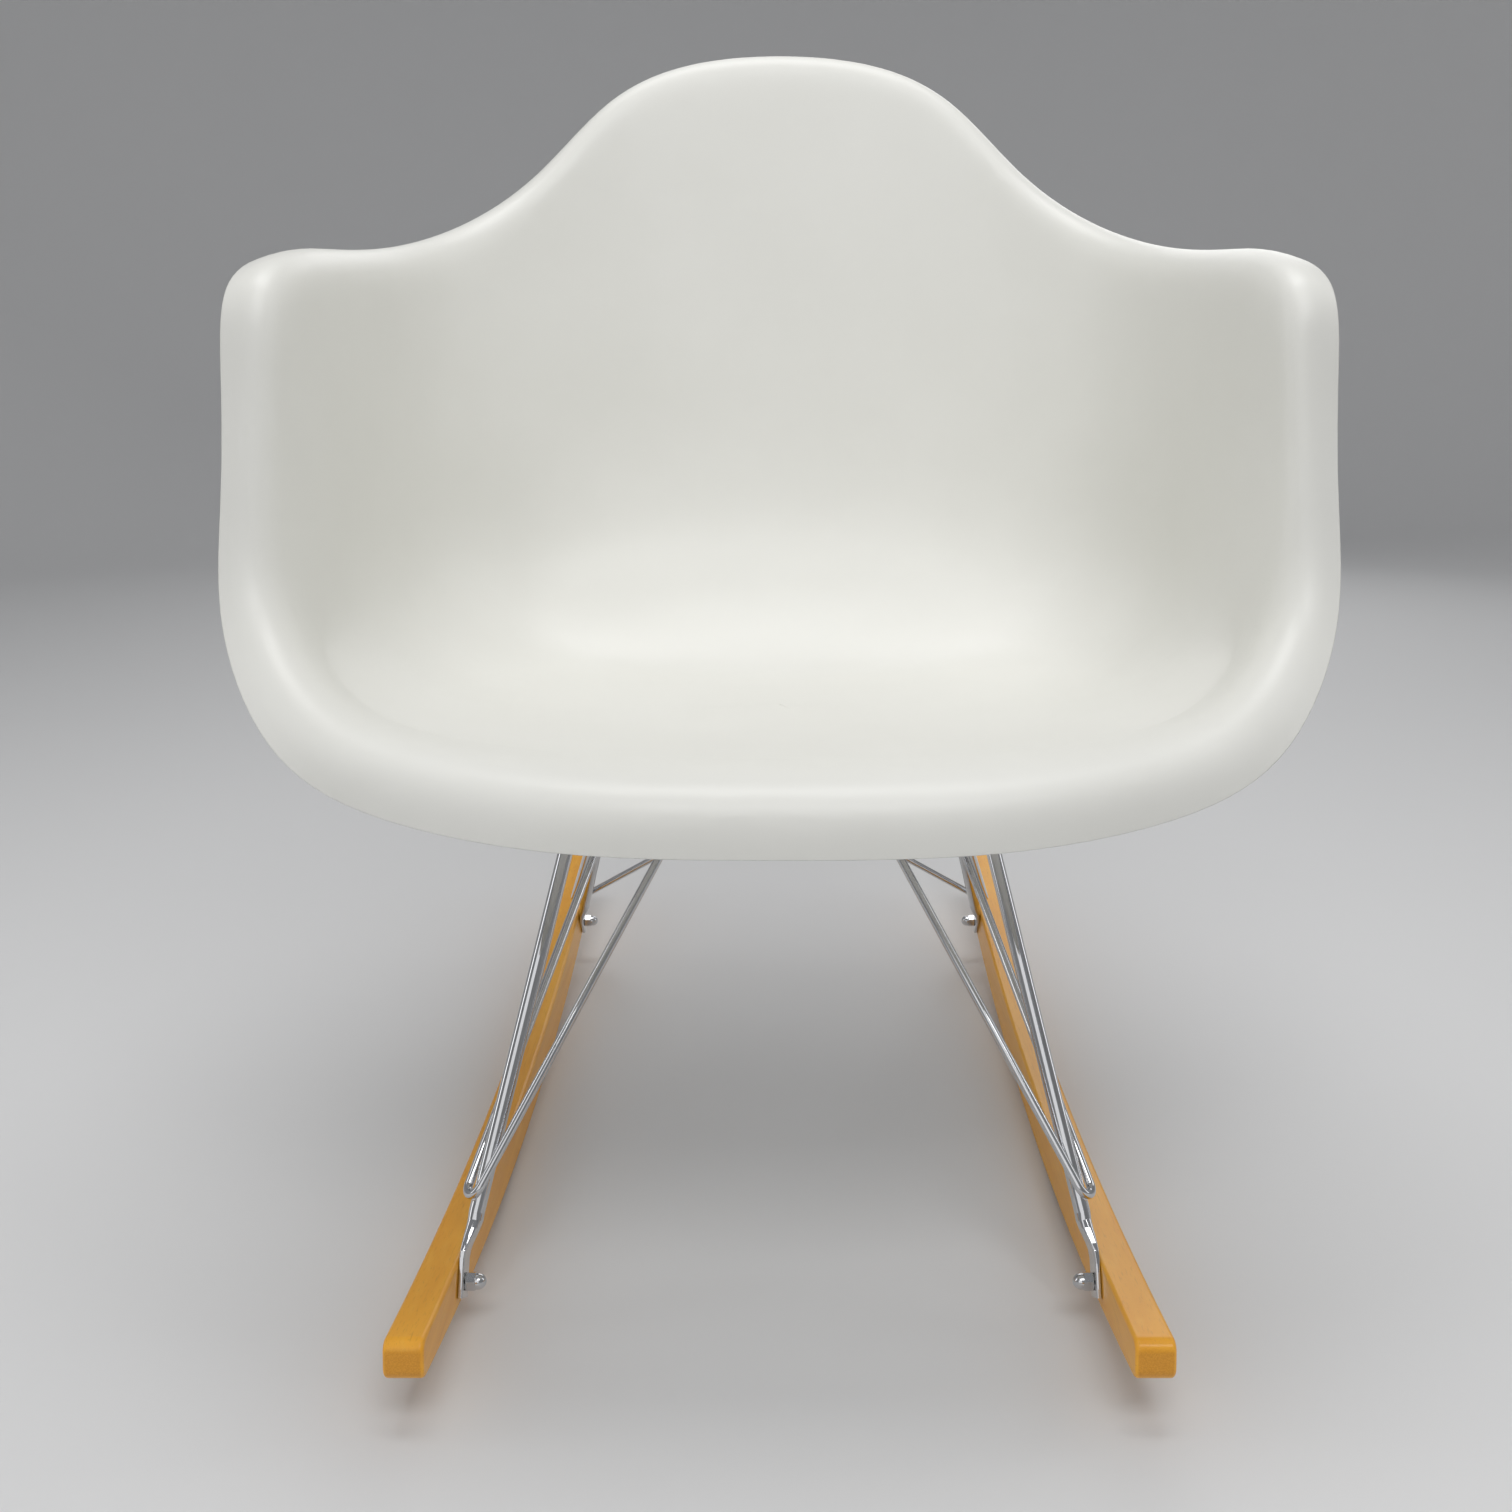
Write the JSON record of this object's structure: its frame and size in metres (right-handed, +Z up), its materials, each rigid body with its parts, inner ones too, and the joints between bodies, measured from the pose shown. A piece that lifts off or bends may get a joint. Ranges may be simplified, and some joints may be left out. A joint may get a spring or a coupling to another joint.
{
  "type": "moulded plastic rocking chair",
  "caption": "Rocking armchair: a moulded plastic shell seat on a chromed wire base that is bolted to curved wooden runners.",
  "frame": {"origin": "on the floor, below the middle of the chair's outer box", "axes": "+Z up; the chair faces -Y; +X is the sitter's left; the runners lie along Y"},
  "size_m": [0.6232, 0.8267, 0.7769],
  "materials": {
    "shell_plastic": "satin white moulding",
    "runner_wood": "honey lacquered hardwood",
    "frame_chrome": "bright chrome",
    "fastener_chrome": "bright plated steel",
    "insert_brass": "plain"
  },
  "bodies": {
    "root": {"shell": "shell_plastic", "runner_left": "runner_wood", "runner_right": "runner_wood", "front_cross_bar": "frame_chrome", "rear_cross_bar": "frame_chrome", "side_rail_left": "frame_chrome", "side_rail_right": "frame_chrome", "front_leg_left": "frame_chrome", "front_leg_right": "frame_chrome", "rear_leg_left": "frame_chrome", "rear_leg_right": "frame_chrome", "front_brace_left": "frame_chrome", "front_brace_right": "frame_chrome", "rear_brace_left": "frame_chrome", "rear_brace_right": "frame_chrome", "front_tie_left": "frame_chrome", "front_tie_right": "frame_chrome", "rear_tie_left": "frame_chrome", "rear_tie_right": "frame_chrome", "runner_bolts": "fastener_chrome", "runner_washers": "fastener_chrome", "cap_nuts": "fastener_chrome", "seat_screws": "fastener_chrome", "seat_washers": "fastener_chrome", "threaded_inserts": "insert_brass"}
  },
  "joints": []
}
